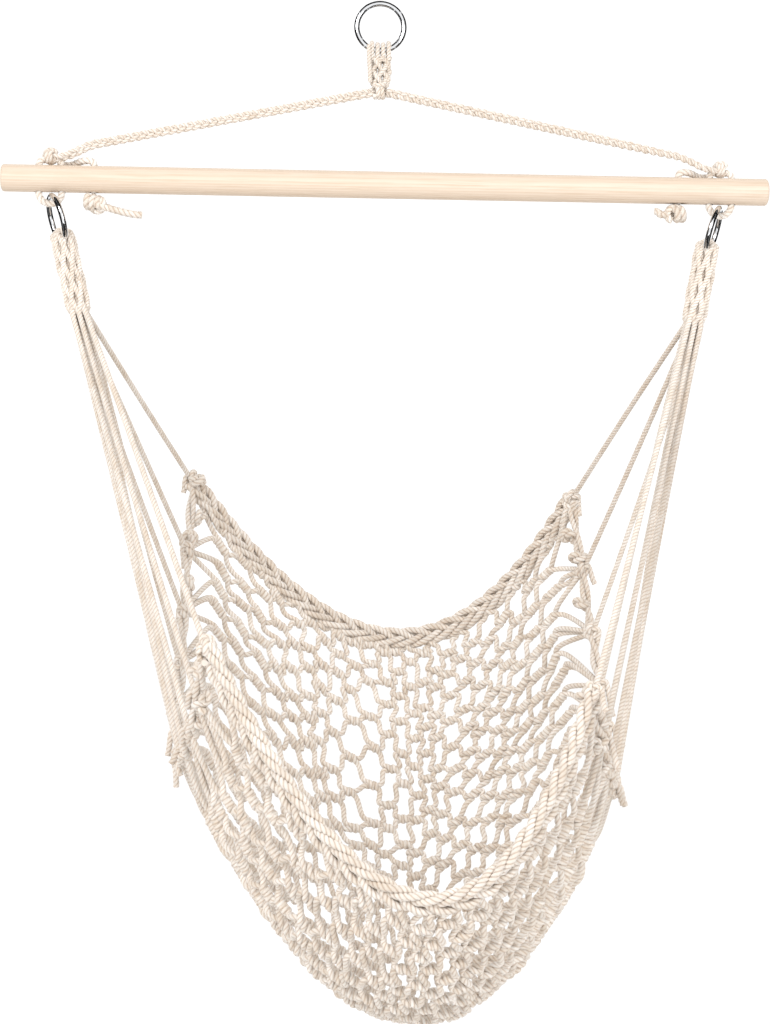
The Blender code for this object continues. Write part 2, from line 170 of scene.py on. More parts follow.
# %% Cotton rope material
# The groove and flank colours are painted shade: the ramp on crest darkens the cotton towards its grooves,
# where shade falls.
PAINTED_GROOVE_SHADE = (0.580, 0.475, 0.392)
PAINTED_FLANK_SHADE = (0.785, 0.716, 0.648)
CREST = (0.872, 0.830, 0.782)
WHITE = (1.0, 1.0, 1.0)


def cotton_material():
    material, tree, shader = new_material("cotton_rope")
    crest = attribute(tree, "crest").outputs["Fac"]
    shade = attribute(tree, "shade").outputs["Fac"]
    fibre = attribute(tree, "fibre").outputs["Vector"]
    streaks = mapped_noise(tree, fibre, (1900.0, 1900.0, 260.0), 3.0).outputs[0]
    patches = mapped_noise(tree, fibre, (40.0, 40.0, 22.0), 2.0).outputs[0]
    # Painted shade: the colour darkens from the crest of each strand into the grooves between strands.
    body = ramp(tree, ((0.0, PAINTED_GROOVE_SHADE), (0.42, PAINTED_FLANK_SHADE), (0.85, CREST)), crest)
    body = multiplied(tree, body, ((0.0, (0.88, 0.85, 0.82)), (1.0, WHITE)), shade)
    body = multiplied(tree, body, ((0.33, (0.88, 0.83, 0.77)), (0.60, WHITE)), patches)
    body = multiplied(tree, body, ((0.30, (0.90, 0.88, 0.85)), (0.60, WHITE)), streaks, 0.8)
    bumped(tree, shader, streaks, 0.45, 0.0004)
    settings = {"Roughness": 0.9, "Specular IOR Level": 0.2, "Sheen Weight": 0.25, "Sheen Roughness": 0.5}
    for name, value in {"Base Color": body, **settings}.items():
        fill_socket(tree, shader.inputs[name], value)
    return material


COTTON = cotton_material()
print("material", COTTON.name, "with", len(COTTON.node_tree.nodes), "nodes")

# %% [markdown]
# ## Laid rope
#
# Three strands twisted together make a laid rope. Its cross-section is a round with three lobes, and that
# section turns once in each lay, about three diameters of rope. A Geometry Nodes tree does this for any
# number of routes at once: it turns each chain of edges into a curve, sets rings at an even spacing, tilts
# each ring by the length that came before it, and sweeps the lobed section along. A modifier that twists a
# finished tube would need every rope to be straight first.

# %% Rope tree
ROPE_SIDES = 12
LOBES = 3


def math_node(tree, operation, *values):
    node = new_node(tree, "ShaderNodeMath", operation=operation)
    for socket, value in zip(node.inputs, values):
        fill_socket(tree, socket, value)
    return node.outputs[0]


def product(tree, first, second):
    return math_node(tree, "MULTIPLY", first, second)


def store(tree, geometry, name, kind, value):
    node = new_node(tree, "GeometryNodeStoreNamedAttribute", data_type=kind, domain="POINT")
    return feed(tree, node, Geometry=geometry, Name=name, Value=value).outputs[0]


def per_rope(tree, low, high, seed):
    """A random number for each rope, the same all along it."""
    index = new_node(tree, "GeometryNodeInputIndex").outputs[0]
    rope = new_node(tree, "GeometryNodeFieldOnDomain", data_type="INT", domain="CURVE")
    tree.links.new(index, rope.inputs[0])
    chance = new_node(tree, "FunctionNodeRandomValue", data_type="FLOAT")
    lowest, highest, number = chance.inputs[2], chance.inputs[3], chance.outputs[1]
    lowest.default_value = low
    highest.default_value = high
    feed(tree, chance, ID=rope.outputs[0], Seed=seed)
    return number


def lobed_section(tree, radius, depth):
    """The cross-section of the rope, with crest and turn stored on it."""
    circle = new_node(tree, "GeometryNodeCurvePrimitiveCircle", mode="RADIUS")
    feed(tree, circle, Resolution=ROPE_SIDES, Radius=1.0)
    index = new_node(tree, "GeometryNodeInputIndex").outputs[0]
    turn = product(tree, index, 2 * math.pi / ROPE_SIDES)
    crest = math_node(tree, "ABSOLUTE", math_node(tree, "COSINE", product(tree, turn, LOBES / 2)))
    sunk = product(tree, math_node(tree, "SUBTRACT", 1.0, crest), depth)
    reach = product(tree, math_node(tree, "SUBTRACT", 1.0, sunk), radius)
    scaled = new_node(tree, "ShaderNodeVectorMath", operation="SCALE")
    place = new_node(tree, "GeometryNodeInputPosition").outputs[0]
    feed(tree, scaled, Vector=place, Scale=reach)
    section = new_node(tree, "GeometryNodeSetPosition")
    feed(tree, section, Geometry=circle.outputs[0], Position=scaled.outputs[0])
    section = store(tree, section.outputs[0], "crest", "FLOAT", crest)
    return store(tree, section, "turn", "FLOAT", turn)


def rope_tree():
    tree = bpy.data.node_groups.new("laid_rope", "GeometryNodeTree")
    sockets = tree.interface
    sockets.new_socket("Geometry", in_out="INPUT", socket_type="NodeSocketGeometry")
    for name, kind in (
        ("Diameter", "NodeSocketFloat"), ("Lay", "NodeSocketFloat"), ("Ring spacing", "NodeSocketFloat"),
        ("Groove depth", "NodeSocketFloat"), ("Seed", "NodeSocketInt"), ("Material", "NodeSocketMaterial"),
    ):
        sockets.new_socket(name, in_out="INPUT", socket_type=kind)
    sockets.new_socket("Geometry", in_out="OUTPUT", socket_type="NodeSocketGeometry")
    given = new_node(tree, "NodeGroupInput").outputs
    curve = feed(tree, new_node(tree, "GeometryNodeMeshToCurve"), Mesh=given["Geometry"])
    evened = new_node(tree, "GeometryNodeResampleCurve", mode="LENGTH")
    feed(tree, evened, Curve=curve.outputs[0], Length=given["Ring spacing"])
    length = new_node(tree, "GeometryNodeSplineParameter").outputs["Length"]
    phase = per_rope(tree, 0.0, 2 * math.pi, given["Seed"])
    twist = product(tree, math_node(tree, "DIVIDE", length, given["Lay"]), 2 * math.pi)
    twist = math_node(tree, "ADD", twist, phase)
    ropes = store(tree, evened.outputs[0], "twist", "FLOAT", twist)
    ropes = store(tree, ropes, "along", "FLOAT", math_node(tree, "ADD", length, phase))
    shade_seed = math_node(tree, "ADD", given["Seed"], 7.0)
    ropes = store(tree, ropes, "shade", "FLOAT", per_rope(tree, 0.0, 1.0, shade_seed))
    tilted = feed(tree, new_node(tree, "GeometryNodeSetCurveTilt"), Curve=ropes, Tilt=twist)
    radius = product(tree, given["Diameter"], 0.5)
    section = lobed_section(tree, radius, given["Groove depth"])
    swept = new_node(tree, "GeometryNodeCurveToMesh")
    feed(tree, swept, Curve=tilted.outputs[0], Profile_Curve=section, Fill_Caps=True)

    def stored(name):
        node = new_node(tree, "GeometryNodeInputNamedAttribute", data_type="FLOAT")
        node.inputs["Name"].default_value = name
        return node.outputs[0]

    yarn_angle = math_node(tree, "ADD", stored("turn"), product(tree, stored("twist"), 0.4))
    place = new_node(tree, "ShaderNodeCombineXYZ")
    yarn_x = product(tree, math_node(tree, "COSINE", yarn_angle), radius)
    yarn_y = product(tree, math_node(tree, "SINE", yarn_angle), radius)
    feed(tree, place, X=yarn_x, Y=yarn_y, Z=stored("along"))
    rope = store(tree, swept.outputs[0], "fibre", "FLOAT_VECTOR", place.outputs[0])
    for name in ("turn", "twist", "along"):
        rope = feed(tree, new_node(tree, "GeometryNodeRemoveAttribute"), Geometry=rope, Name=name).outputs[0]
    smooth = feed(tree, new_node(tree, "GeometryNodeSetShadeSmooth"), Geometry=rope)
    real = feed(tree, new_node(tree, "GeometryNodeRealizeInstances"), Geometry=smooth.outputs[0])
    finish = new_node(tree, "GeometryNodeSetMaterial")
    feed(tree, finish, Geometry=real.outputs[0], Material=given["Material"])
    tree.links.new(finish.outputs[0], new_node(tree, "NodeGroupOutput").inputs[0])
    return tree


ROPE_TREE = rope_tree()
print("rope tree:", len(ROPE_TREE.nodes), "nodes")

# %% Lay ropes along routes
rope_triangles = {}


def guide_of(name, routes):
    """A mesh of edges, with one chain for each route."""
    points, edges = [], []
    for route in routes:
        first = len(points)
        points += [tuple(point) for point in route]
        edges += [(number, number + 1) for number in range(first, len(points) - 1)]
    mesh = bpy.data.meshes.new(name)
    mesh.from_pydata(points, edges, [])
    guide = bpy.data.objects.new(name, mesh)
    bpy.context.collection.objects.link(guide)
    return guide


def lay_rope(name, body, routes, diameter, lay=3.0, rings=0.27, groove=0.30, seed=1):
    """One piece with a laid rope along each route. Lay and rings are in diameters of rope."""
    guide = guide_of(name + "_guide", routes)
    modifier = guide.modifiers.new("rope", "NODES")
    modifier.node_group = ROPE_TREE
    inputs = {item.name: item.identifier for item in ROPE_TREE.interface.items_tree if item.in_out == "INPUT"}
    settings = {
        "Diameter": diameter, "Lay": diameter * lay, "Ring spacing": diameter * rings,
        "Groove depth": groove, "Seed": seed, "Material": COTTON,
    }
    for label, value in settings.items():
        modifier[inputs[label]] = value
    graph = bpy.context.evaluated_depsgraph_get()
    mesh = bpy.data.meshes.new_from_object(
        guide.evaluated_get(graph), preserve_all_data_layers=True, depsgraph=graph
    )
    guide.modifiers.clear()
    bpy.data.objects.remove(guide)
    mesh.name = name
    piece = bpy.data.objects.new(name, mesh)
    bpy.context.collection.objects.link(piece)
    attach(piece, body)
    mesh.calc_loop_triangles()
    rope_triangles[name] = len(mesh.loop_triangles)
    return piece


print("ropes can be laid")

# %% [markdown]
# ## Routes: plaits, sinnets and knots
#
# A flat plait is a row of strands that swing from side to side, each a step behind the last. While a strand
# crosses one way it rides over the others, and on its way back it dives under them, so its height is a wave
# at twice the pace of its swing. A round sinnet is the same idea wrapped round a core: half of the strands
# climb to the left, the other half to the right, and they take turns on top. An overhand knot is a trefoil
# that is open at one place, with its cut end led away.

# %% Plait helpers
def unit(vector):
    return vector.normalized()


def resampled(points, count):
    """The same route with evenly spaced points."""
    lengths = [0.0]
    for first, second in zip(points, points[1:]):
        lengths.append(lengths[-1] + (second - first).length)
    evened, place = [], 0
    for number in range(count):
        wanted = lengths[-1] * number / (count - 1)
        while place < len(points) - 2 and lengths[place + 1] < wanted:
            place += 1
        span = lengths[place + 1] - lengths[place]
        share = (wanted - lengths[place]) / span if span else 0.0
        evened.append(points[place].lerp(points[place + 1], min(1.0, share)))
    return evened


def route_length(points):
    return sum((second - first).length for first, second in zip(points, points[1:]))


def flat_plait(centre_line, strands, swing, lift, period, side_at, steps=22):
    """Routes of a flat plait. side_at(share) gives the direction of its width."""
    length = route_length(centre_line)
    count = max(12, int(length / period * steps))
    middle = resampled(centre_line, count)
    routes = [[] for _ in range(strands)]
    for number, point in enumerate(middle):
        share = number / (count - 1)
        ahead = unit(middle[min(number + 1, count - 1)] - middle[max(number - 1, 0)])
        side = side_at(share)
        side = unit(side - ahead * side.dot(ahead))
        face = ahead.cross(side)
        for strand in range(strands):
            angle = 2 * math.pi * (length * share / period + strand / strands)
            routes[strand].append(point + side * swing * math.sin(angle) + face * lift * math.sin(2 * angle))
    return routes


def round_sinnet(start, ahead, length, wide, deep, width_axis, each_way, lift, period, taper=0.10, crown=0.0):
    """Routes of a round sinnet: half of its strands climb one way and half the other."""
    side = unit(width_axis - ahead * width_axis.dot(ahead))
    face = ahead.cross(side)
    count = int(length / period * 28) + 8
    routes = []
    for way in (1, -1):
        for strand in range(each_way):
            route = []
            for number in range(count):
                share = number / (count - 1)
                travelled = length * share
                angle = way * 2 * math.pi * travelled / period + 2 * math.pi * strand / each_way
                over = way * lift * math.cos(each_way * 2 * math.pi * travelled / period)
                narrow = 1.0 - 0.45 * max(0.0, (share - 1 + taper) / taper) ** 2
                if share < crown:
                    narrow *= 0.25 + 0.75 * math.sqrt(1 - (1 - share / crown) ** 2)
                route.append(
                    start + ahead * travelled
                    + side * (wide + over) * narrow * math.cos(angle)
                    + face * (deep + over) * narrow * math.sin(angle)
                )
            routes.append(route)
    return routes


def bezier(start, leave, arrive, end, count):
    """Points of a cubic Bezier curve, without its first point."""
    points = []
    for number in range(1, count + 1):
        t = number / count
        points.append(
            start * (1 - t) ** 3 + leave * 3 * t * (1 - t) ** 2 + arrive * 3 * t * t * (1 - t) + end * t**3
        )
    return points


def overhand(centre, along, side, size, tail, droop):
    """An overhand knot of a given unit size, with a tail that leaves ahead and droops."""
    along = unit(along)
    side = unit(side - along * side.dot(along))
    face = side.cross(along)
    points = []
    open_at = 0.30
    for number in range(41):
        angle = open_at + (2 * math.pi - 2 * open_at) * number / 40
        ring = 2.0 + math.cos(3 * angle)
        points.append(
            centre + side * size * (ring * math.cos(2 * angle) - 0.6)
            + along * size * ring * math.sin(2 * angle)
            + face * size * 1.1 * math.sin(3 * angle)
        )
    if tail:
        leave = points[-1] + unit(points[-1] - points[-2]) * size * 1.8
        end = points[-1] + along * tail + droop
        points += bezier(points[-1], leave, end - (along * tail * 0.5 + droop * 0.6), end, 12)
    return points


print("route helpers ready")

# %% [markdown]
# ## The routes that the frame gives
#
# The cords come next, because their places are fixed by what they are tied to. The head's knot, the knots
# on the bar and the wires of the side rings are read from the frame. The net's shape is the frame's own
# rule: three hanging curves, and parabolas from the left one over the centre one to the right one.

# %% Places read from the frame
SIDES = {"left": -1, "right": 1}
ACROSS = Vector((1.0, 0.0, 0.0))
BACKWARDS = Vector((0.0, 1.0, 0.0))
UPWARDS = Vector((0.0, 0.0, 1.0))


def centre_of(node):
    low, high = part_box(node)
    return (Vector(low) + Vector(high)) / 2


def size_of(node):
    low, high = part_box(node)
    return Vector(high) - Vector(low)


BAR = centre_of("spreader_bar")
BAR_RADIUS = size_of("spreader_bar").z / 2
BAR_LENGTH = size_of("spreader_bar").x
RING_OUTER = size_of("hanging_ring").x
RING_WIRE = size_of("hanging_ring").y
RING_RADIUS = (RING_OUTER - RING_WIRE) / 2
RING = centre_of("hanging_ring")
KNOT = {side: centre_of(f"bar_knot_{side}") for side in SIDES}
print("bar", [round(v, 4) for v in BAR], "radius", round(BAR_RADIUS, 4), "ring radius", round(RING_RADIUS, 4))

# %% The net's surface
NET_HALF_WIDTH = (0.218, 0.226, 0.182)
NET_SHIFT_AT_EDGES = (0.007, 0.014, 0.005)
NET_SHIFT_AT_CENTRE = (0.025, 0.025, 0.025)
NET_EDGE_DEPTH = 0.200
NET_CENTRE_DEPTH = 0.250
NET_FORWARD = 0.0164
NET_LEFT_HEIGHT = (-0.492, -0.769, -0.652)
NET_RIGHT_HEIGHT = (-0.508, -0.795, -0.693)
NET_CENTRE_HEIGHT = (-0.674, -1.025, -0.881)


def three_point(back, middle, front, share):
    """The parabola through three points, with share running from 0 at the first to 1 at the last."""
    return (
        back * (1 - share) * (1 - 2 * share)
        + middle * 4 * share * (1 - share)
        + front * share * (2 * share - 1)
    )


def hanging_curve(sign, shifts, depth, heights):
    return [
        Vector((BAR.x + shift + sign * width, place * depth - NET_FORWARD, height))
        for width, shift, place, height in zip(NET_HALF_WIDTH, shifts, (1, 0, -1), heights)
    ]


NET_CURVES = (
    hanging_curve(-1, NET_SHIFT_AT_EDGES, NET_EDGE_DEPTH, NET_LEFT_HEIGHT),
    hanging_curve(0, NET_SHIFT_AT_CENTRE, NET_CENTRE_DEPTH, NET_CENTRE_HEIGHT),
    hanging_curve(1, NET_SHIFT_AT_EDGES, NET_EDGE_DEPTH, NET_RIGHT_HEIGHT),
)


def net_point(across, along):
    """A point of the net: across runs from the left edge to the right, along from the back to the front."""
    return three_point(*(three_point(*curve, along) for curve in NET_CURVES), across)


def net_axes(across, along, step=0.004):
    """The net's directions at a place: sideways, towards the front edge, and out of its face."""
    sideways = unit(net_point(across + step, along) - net_point(across - step, along))
    onwards = net_point(across, along + step) - net_point(across, along - step)
    onwards = unit(onwards - sideways * onwards.dot(sideways))
    return sideways, onwards, sideways.cross(onwards)


print("net width at the back", round((net_point(1, 0) - net_point(0, 0)).length, 3))

# %% [markdown]
# ## Suspension cords
#
# Two flat plaits of three strands carry the whole chair, from the knot under the head to the knots on the
# bar. They are taut, so each runs straight until it is near the bar, and there it bends down into its knot.
# The right one turns edge-on on its way. The length of each cord is printed.

# %% Plait the suspension cords
SUSPENSION_STRAND = 0.0046
HEAD_KNOT_RADIUS = 0.008
HEAD_KNOT = Vector((0.0, 0.0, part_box("plaited_head")[0][2] + HEAD_KNOT_RADIUS))
KNOT_CLEARANCE = 0.0095
TUCK = 0.0028
BEND_LENGTH = 0.050
TURNED_SHARE = {"left": 0.10, "right": 0.50}
TURN_ANGLE = 1.35


def suspension_line(side, sign):
    """From the head's knot straight to near the bar, then down along it into the knot."""
    knot = KNOT[side] + UPWARDS * 0.0048
    along = unit(knot - HEAD_KNOT)
    start = HEAD_KNOT + along * KNOT_CLEARANCE
    near = knot - along * BEND_LENGTH
    end = KNOT[side] + Vector((-sign * 0.0045, -0.0045, -0.0015))
    low = end + Vector((-sign * 0.020, 0.0, 0.0012))
    straight = [start.lerp(near, step / 20) for step in range(21)]
    return straight + bezier(near, near + along * 0.020, low, end, 14)


def plait_suspension(side, sign):
    line = suspension_line(side, sign)
    start = line[0]
    ahead = unit(line[20] - start)
    flat = ahead.cross(BACKWARDS)
    turned = TURNED_SHARE[side]

    def side_at(share):
        angle = TURN_ANGLE * max(0.0, (share - 1 + turned) / turned) ** 1.2
        return flat * math.cos(angle) + BACKWARDS * math.sin(angle)

    line = [start - ahead * TUCK] + line
    routes = flat_plait(line, 3, 0.0029, 0.0015, 0.0250, side_at)
    rope = lay_rope(
        f"suspension_plait_{side}", "yoke", routes, SUSPENSION_STRAND,
        lay=2.8, rings=0.33, groove=0.12, seed=11 + sign,
    )
    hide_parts(f"suspension_rope_{side}")
    return rope, start, resampled(line, 40)


suspension = {side: plait_suspension(side, sign) for side, sign in SIDES.items()}
for side, (rope, start, path) in suspension.items():
    print(side, "suspension cord", round(route_length(path), 4), "m")

# %% [markdown]
# ## Knots on the bar, ring loops and tails
#
# Under each suspension cord sits one knot. A loop leaves it on both sides, goes down through two holes of
# the bar and holds the side ring. A tail runs on along the top of the bar, goes down through a third hole
# and ends in a stopper knot. A tight knot shows little but its outer turns, so each of these is a coil of
# rope with one more turn laid across it.

# %% Tie the bar knots and their loops
LOOP_ROPE = 0.008
LOOP_STRANDS = LOOP_ROPE * 0.97
LOOP_SPAN = 0.024
TAIL_RUN = 0.045
BAR_TOP = BAR.z + BAR_RADIUS
BAR_UNDER = BAR.z - BAR_RADIUS


def coil(middle, axis, up_axis, length, radius, turns, start=0.0):
    """Turns of rope side by side round an axis."""
    up_axis = unit(up_axis - axis * up_axis.dot(axis))
    face = axis.cross(up_axis)
    points = []
    for number in range(int(turns * 24) + 1):
        angle = start + 2 * math.pi * number / 24
        place = axis * length * (number / (turns * 24) - 0.5)
        points.append(middle + place + (up_axis * math.cos(angle) + face * math.sin(angle)) * radius)
    return points


def tie_bar_knot(side, sign):
    middle = KNOT[side]
    round_bar = coil(middle, unit(Vector((sign, 0.15, 0.0))), UPWARDS, 0.0085, 0.0050, 2.1)
    slant = unit(Vector((0.3, 1.0, 0.25)))
    across_top = coil(middle + UPWARDS * 0.001, slant, UPWARDS, 0.0040, 0.0062, 0.9, 2.0)
    knot = lay_rope(
        f"bar_hitch_{side}", "yoke", [round_bar, across_top], 0.0062,
        lay=2.3, rings=0.24, groove=0.17, seed=21 + sign,
    )
    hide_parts(f"bar_knot_{side}")
    return knot


def loop_shoulder(x, way):
    """From inside the knot into a hole of the bar: way is -1 for the left hole and 1 for the right."""
    half = LOOP_SPAN / 2
    inside = Vector((x + way * half * 0.45, 0.0, BAR_TOP + 0.0055))
    hole = Vector((x + way * half, 0.0, BAR_TOP - 0.004))
    leave = inside + Vector((way * 0.006, 0.0, 0.001))
    return [inside] + bezier(inside, leave, hole + UPWARDS * 0.006, hole, 10)


def tie_ring_loop(side, sign):
    """Out of the knot, through the bar, under the ring's wire and back."""
    x = KNOT[side].x
    half = LOOP_SPAN / 2
    points = loop_shoulder(x, -1)
    for number in range(25):
        angle = math.pi + math.pi * number / 24
        points.append(Vector((x + half * math.cos(angle), 0.0, BAR_UNDER + half * math.sin(angle))))
    points += reversed(loop_shoulder(x, 1))
    loop = lay_rope(
        f"ring_loop_rope_{side}", "yoke", [points], LOOP_STRANDS,
        lay=2.1, rings=0.20, groove=0.17, seed=31 + sign,
    )
    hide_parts(f"ring_loop_{side}")


# %% Run the tails and tie their stoppers
STOPPER_TAIL = {"left": 0.042, "right": 0.014}
STOPPER_DROP = 0.0104
TAIL_START = 0.0061
TAIL_BEND = 0.0055
TAIL_ANGLE = math.radians(34)


def tail_route(side, sign):
    """Over the bar behind the loop's inner leg, then down through the third hole."""
    knot, hole = KNOT[side].x, KNOT[side].x - sign * TAIL_RUN
    reach = BAR_RADIUS + TAIL_BEND
    run = TAIL_RUN - TAIL_BEND - TAIL_START
    points = []
    for number in range(17):
        share = number / 16
        slack = max(0.0, (share - 0.35) / 0.65)
        angle = TAIL_ANGLE * (1 + math.cos(math.pi * slack)) / 2
        x = knot - sign * (TAIL_START + run * share)
        points.append(Vector((x, reach * math.sin(angle), BAR.z + reach * math.cos(angle))))
    for number in range(1, 8):
        angle = math.pi / 2 * number / 7
        x = hole + sign * TAIL_BEND * (1 - math.sin(angle))
        points.append(Vector((x, 0.0, BAR_TOP + TAIL_BEND * math.cos(angle))))
    return points + [Vector((hole, 0.0, BAR.z)), Vector((hole, 0.0, BAR_UNDER))]


def tie_tail(side, sign):
    route = tail_route(side, sign)
    rope = lay_rope(
        f"tail_{side}", "yoke", [route], LOOP_STRANDS, lay=2.1, rings=0.20, groove=0.17, seed=41 + sign
    )
    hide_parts(f"tail_rope_{side}")
    middle = Vector((KNOT[side].x - sign * TAIL_RUN, 0.0, BAR_UNDER - STOPPER_DROP))
    away = unit(Vector((-sign, -0.20, -0.34 if sign < 0 else -0.10)))
    turns = coil(middle - away * 0.001, away, UPWARDS, 0.0125, 0.0058, 2.2, 0.6)
    leave = middle + away * 0.012
    end = leave + away * STOPPER_TAIL[side] + UPWARDS * 0.004
    tail = bezier(turns[-1], turns[-1] + unit(turns[-1] - turns[-2]) * 0.004, leave, leave + away * 0.004, 8)
    tail += bezier(tail[-1], tail[-1] + away * 0.010, end + ACROSS * sign * 0.010, end, 10)
    bight = coil(middle + away * 0.004, unit(Vector((0.25, 1.0, 0.15))), away, 0.0060, 0.0070, 0.8, -1.2)
    knot = lay_rope(
        f"stopper_{side}", "yoke", [turns + tail, bight], 0.0082,
        lay=2.1, rings=0.22, groove=0.17, seed=51 + sign,
    )
    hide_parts(f"stopper_knot_{side}")
    return rope, knot, route


bar_knots, tails = {}, {}
for side, sign in SIDES.items():
    bar_knots[side] = tie_bar_knot(side, sign)
    tie_ring_loop(side, sign)
    tails[side] = tie_tail(side, sign)
    print(side, "tail", round(route_length(tails[side][2]), 4), "m")

for side in SIDES:
    rope, start, path = suspension[side]
    rope, knot, route = tails[side]
    resampled(route, 40)

# %% [markdown]
# ## Clew ropes
#
# Twelve ropes fan out from each clew head to the side of the net. All of them are taut and each ends in an
# overhand knot with a short cut tail, which takes hold of two or three ropes of the net. The tails point
# every way, because they were cut one at a time.

# %% Run the clew ropes
CLEW_ROPE = 0.006
CLEW_ROPES = 12
CLEW_ROWS = 3
CLEW_COLUMNS = 4
CLEW_PITCH = 0.0068
CLEW_HEAD_LENGTH = 0.075
CLEW_START = 0.0035
SIDE_RING_LEAN = math.radians(17)
SIDE_RING_TURN = math.radians(18)
SIDE_RING = {side: centre_of(f"side_ring_{side}") for side in SIDES}


def clew_wire(side, sign):
    """The middle of the lowest wire of a side ring."""
    lean = Vector((-sign * math.sin(SIDE_RING_LEAN), 0.0, -math.cos(SIDE_RING_LEAN)))
    return SIDE_RING[side] + lean * RING_RADIUS


def clew_axis(side, sign):
    """The way a clew head points: at the middle of the net's side edge."""
    reach = net_point(0.0 if sign < 0 else 1.0, 0.5) - clew_wire(side, sign)
    return unit(Vector((reach.x, 0.0, reach.z)))


def clew_start(side, sign, number):
    """Where a clew rope leaves its head: four columns of three from the back to the front."""
    down = clew_axis(side, sign)
    inwards = Vector((sign * down.z, 0.0, -sign * down.x))
    column, row = divmod(number, CLEW_ROWS)
    inner = (CLEW_ROWS - 1) / 2 - row
    if column >= CLEW_COLUMNS / 2:
        inner = -inner
    start = clew_wire(side, sign) + down * (CLEW_HEAD_LENGTH + CLEW_START) + inwards * CLEW_PITCH * inner
    return start + Vector((0.0, CLEW_PITCH * ((CLEW_COLUMNS - 1) / 2 - column), 0.0))


chance = random.Random(7)
clew_knots = {side: [] for side in SIDES}
KNOT_REACH = 0.007
CLEW_TUCK = 0.012


def tie_clew_knot(name, end, ahead, sign, number):
    """The knot at the net's side, with its cut tail."""
    swing = Vector((chance.uniform(-0.2, 1.0) * sign, chance.uniform(-0.8, 0.8), chance.uniform(-1.0, 0.1)))
    tail = chance.uniform(0.010, 0.026)
    side = Vector((sign, chance.uniform(-1, 1), 0.3))
    droop = unit(swing) * tail * 0.7
    route = overhand(end, unit(ahead + swing * 0.30), side, 0.00255, tail=tail, droop=droop)
    return lay_rope(name + "_knot", "seat", [route], 0.0068, lay=2.3, groove=0.24, seed=200 + number)


def run_clew(side, sign, number):
    exit_point = clew_start(side, sign, number)
    down = clew_axis(side, sign)
    end = net_point(0.0 if sign < 0 else 1.0, number / (CLEW_ROPES - 1))
    ahead = unit(end - exit_point)
    bow = Vector((chance.uniform(-1, 1), chance.uniform(-1, 1), 0.0)) * 0.0016
    stop = end - ahead * KNOT_REACH
    path = [exit_point.lerp(stop, step / 40) + bow * math.sin(math.pi * step / 40) for step in range(41)]
    head_end = clew_wire(side, sign) + down * CLEW_HEAD_LENGTH
    inside = exit_point - down * CLEW_TUCK + (head_end - exit_point) * 0.35
    path = [inside] + bezier(inside, inside + down * 0.006, path[0] - ahead * 0.005, path[0], 6) + path[1:]
    name = f"clew_{side}_{number + 1:02d}"
    seed = 100 + 20 * sign + number
    rope = lay_rope(name, "seat", [path], CLEW_ROPE * 1.05, lay=1.9, rings=0.20, groove=0.17, seed=seed)
    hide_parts(f"clew_rope_{side}_{number + 1:02d}")
    knot = tie_clew_knot(name, end, ahead, sign, number)
    clew_knots[side].append(end)
    return route_length(path)


for side, sign in SIDES.items():
    lengths = [run_clew(side, sign, number) for number in range(CLEW_ROPES)]
    print(side, "clews", [round(length, 3) for length in lengths])


# %% [markdown]
# ## Heads: woven rope over steel wire
#
# The head under the hook is a short round sinnet that hangs on the ring by four rope loops. The loops lie
# side by side over the wire, and their legs run down into the sinnet, where the strands cross each other in
# small V shapes. The clew heads are longer sinnets, and each closes to a crown round the lowest wire of its
# ring. A real sinnet is full of rope, so straight ropes inside each one keep light from showing through.

# %% Weave the heads
LOOP_SLACK = 0.0010
CORE_PLACES = (-0.0052, 0.0, 0.0052)


def loops_over(wire_at, places, width_axis, down, rope, reach, spread):
    """U shapes over a wire. wire_at(place) is the wire's middle, with places measured along width_axis."""
    across = unit(width_axis.cross(down))
    radius = RING_WIRE / 2 + rope / 2 + LOOP_SLACK

    def leg(middle, way):
        """Up to the wire, from below it."""
        return [
            middle + across * way * (spread + (radius - spread) * step / 6) + down * reach * (1 - step / 6)
            for step in range(7)
        ]

    routes = []
    for place in places:
        middle = wire_at(place)
        turns = [math.pi * step / 12 for step in range(1, 12)]
        over = [middle + across * radius * math.cos(turn) - down * radius * math.sin(turn) for turn in turns]
        routes.append(leg(middle, 1) + over + leg(middle, -1)[::-1])
    return routes


def core(top, down, length, places, side):
    """Straight ropes inside a sinnet, which keep it full."""
    return [[top + side * place + down * length * step / 8 for step in range(9)] for place in places]


def weave_hook_head():
    rope = 0.0050
    down = -UPWARDS

    def wire_at(place):
        return RING + Vector((place, 0.0, -math.sqrt(RING_RADIUS**2 - place**2)))

    routes = loops_over(wire_at, (-0.0087, -0.0029, 0.0029, 0.0087), ACROSS, down, rope, 0.012, 0.0035)
    lowest_wire = RING + down * RING_RADIUS
    top = lowest_wire + down * 0.0070
    length = top.z - HEAD_KNOT.z - 0.0045
    routes += round_sinnet(top, down, length, 0.0092, 0.0046, ACROSS, 5, 0.0013, 0.074, taper=0.25)
    routes += core(top + down * 0.003, down, length - 0.006, CORE_PLACES, ACROSS)
    stray = [
        lowest_wire + Vector(place) for place in (
            (-0.0120, -0.0082, 0.004), (-0.0125, -0.0080, -0.004),
            (-0.0110, -0.0062, -0.018), (-0.0100, -0.0048, -0.034),
        )
    ]
    routes.append([stray[0]] + bezier(*stray, 16))
    head = lay_rope("hook_head", "head", routes, rope, lay=2.1, rings=0.25, groove=0.15, seed=61)
    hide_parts("plaited_head")
    wraps = coil(HEAD_KNOT + Vector((0.0, -0.0005, -0.0012)), ACROSS, UPWARDS, 0.0105, 0.0054, 2.6, 2.4)
    waist = coil(HEAD_KNOT + UPWARDS * 0.0052, down, BACKWARDS, 0.0030, 0.0056, 1.2)
    lay_rope("hook_head_knot", "head", [wraps, waist], rope * 1.1, lay=2.1, rings=0.25, groove=0.15, seed=62)


